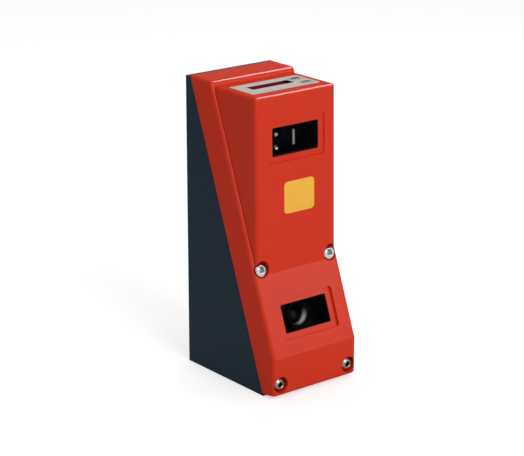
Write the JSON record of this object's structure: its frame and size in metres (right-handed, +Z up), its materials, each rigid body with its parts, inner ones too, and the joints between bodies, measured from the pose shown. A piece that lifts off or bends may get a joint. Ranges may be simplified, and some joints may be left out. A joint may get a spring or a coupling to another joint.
{
  "type": "laser profile sensor",
  "caption": "Tall wedge-backed light section sensor: dark metal frame, red stepped cover, laser window above, slanted camera window below, small display with keys on top.",
  "frame": {"origin": "middle of the flat base that the frame stands on, half way across its width and between the housing's front and rear faces", "axes": "+Z up along the tall housing, -Y out of the front with the windows, +X across the width, to the right as seen from the front"},
  "size_m": [0.056, 0.086, 0.16],
  "materials": {
    "frame_coat": "fine textured dark blue-grey powder coat",
    "cover_plastic": "moulded red plastic, fine satin grain",
    "seal_rubber": "soft black rubber",
    "window_glass": "polished filter glass",
    "lens_glass": "coated optical glass",
    "screw_steel": "bare stainless steel",
    "black_plastic": "matt black moulded plastic",
    "overlay_film": "silver-grey printed film",
    "display_film": "dark red transparent pane",
    "black_aluminium": "black anodised",
    "carrier_aluminium": "black anodised plate",
    "nickel": "nickel-plated brass",
    "contact_gold": "gold-plated contacts",
    "circuit_board": "green solder mask",
    "chip_black": "black chip package",
    "pad_grey": "soft grey thermal pad",
    "dome_steel": "spring steel"
  },
  "bodies": {
    "housing": {"rear_frame": "frame_coat", "front_cover": "cover_plastic", "cover_seal": "seal_rubber", "upper_cover_screws": "screw_steel", "lower_cover_screws": "screw_steel", "transmitter_window": "window_glass", "transmitter_window_seal": "seal_rubber", "transmitter_shroud": "black_plastic", "receiver_window": "window_glass", "receiver_window_seal": "seal_rubber", "receiver_shroud": "black_plastic", "keypad_overlay": "overlay_film", "display_window": "display_film", "snap_domes": "dome_steel", "display_module": "chip_black", "display_board": "circuit_board", "display_board_screws": "screw_steel", "optics_carrier": "carrier_aluminium", "carrier_screws": "screw_steel", "laser_mount": "black_aluminium", "laser_mount_screws": "screw_steel", "laser_barrel": "nickel", "laser_diode": "contact_gold", "line_lens": "lens_glass", "line_lens_clip": "black_aluminium", "line_lens_clip_screws": "screw_steel", "lens_barrel": "black_aluminium", "front_lens": "lens_glass", "lens_lock_ring": "black_aluminium", "lens_holder": "black_aluminium", "lens_holder_screws": "screw_steel", "light_filter": "lens_glass", "image_chip": "chip_black", "camera_board": "circuit_board", "camera_board_screws": "screw_steel", "main_board": "circuit_board", "main_board_screws": "screw_steel", "processor": "chip_black", "thermal_pad": "pad_grey", "supply_port_shell": "nickel", "supply_port_insert": "black_plastic", "supply_port_pins": "contact_gold", "network_port_shell": "nickel", "network_port_insert": "black_plastic", "network_port_pins": "contact_gold", "encoder_port_shell": "nickel", "encoder_port_insert": "black_plastic", "encoder_port_pins": "contact_gold", "port_seals": "seal_rubber", "port_nuts": "nickel"},
    "menu_key": {"menu_key": "overlay_film"},
    "enter_key": {"enter_key": "overlay_film"}
  },
  "joints": [
    {"name": "menu_key_press", "type": "slide", "parent": "housing", "child": "menu_key", "axis": [0, 0, -1], "range_m": [0, 0.0004], "stiffness_N_per_m": 400, "springref_m": -0.0005},
    {"name": "enter_key_press", "type": "slide", "parent": "housing", "child": "enter_key", "axis": [0, 0, -1], "range_m": [0, 0.0004], "stiffness_N_per_m": 400, "springref_m": -0.0005}
  ]
}
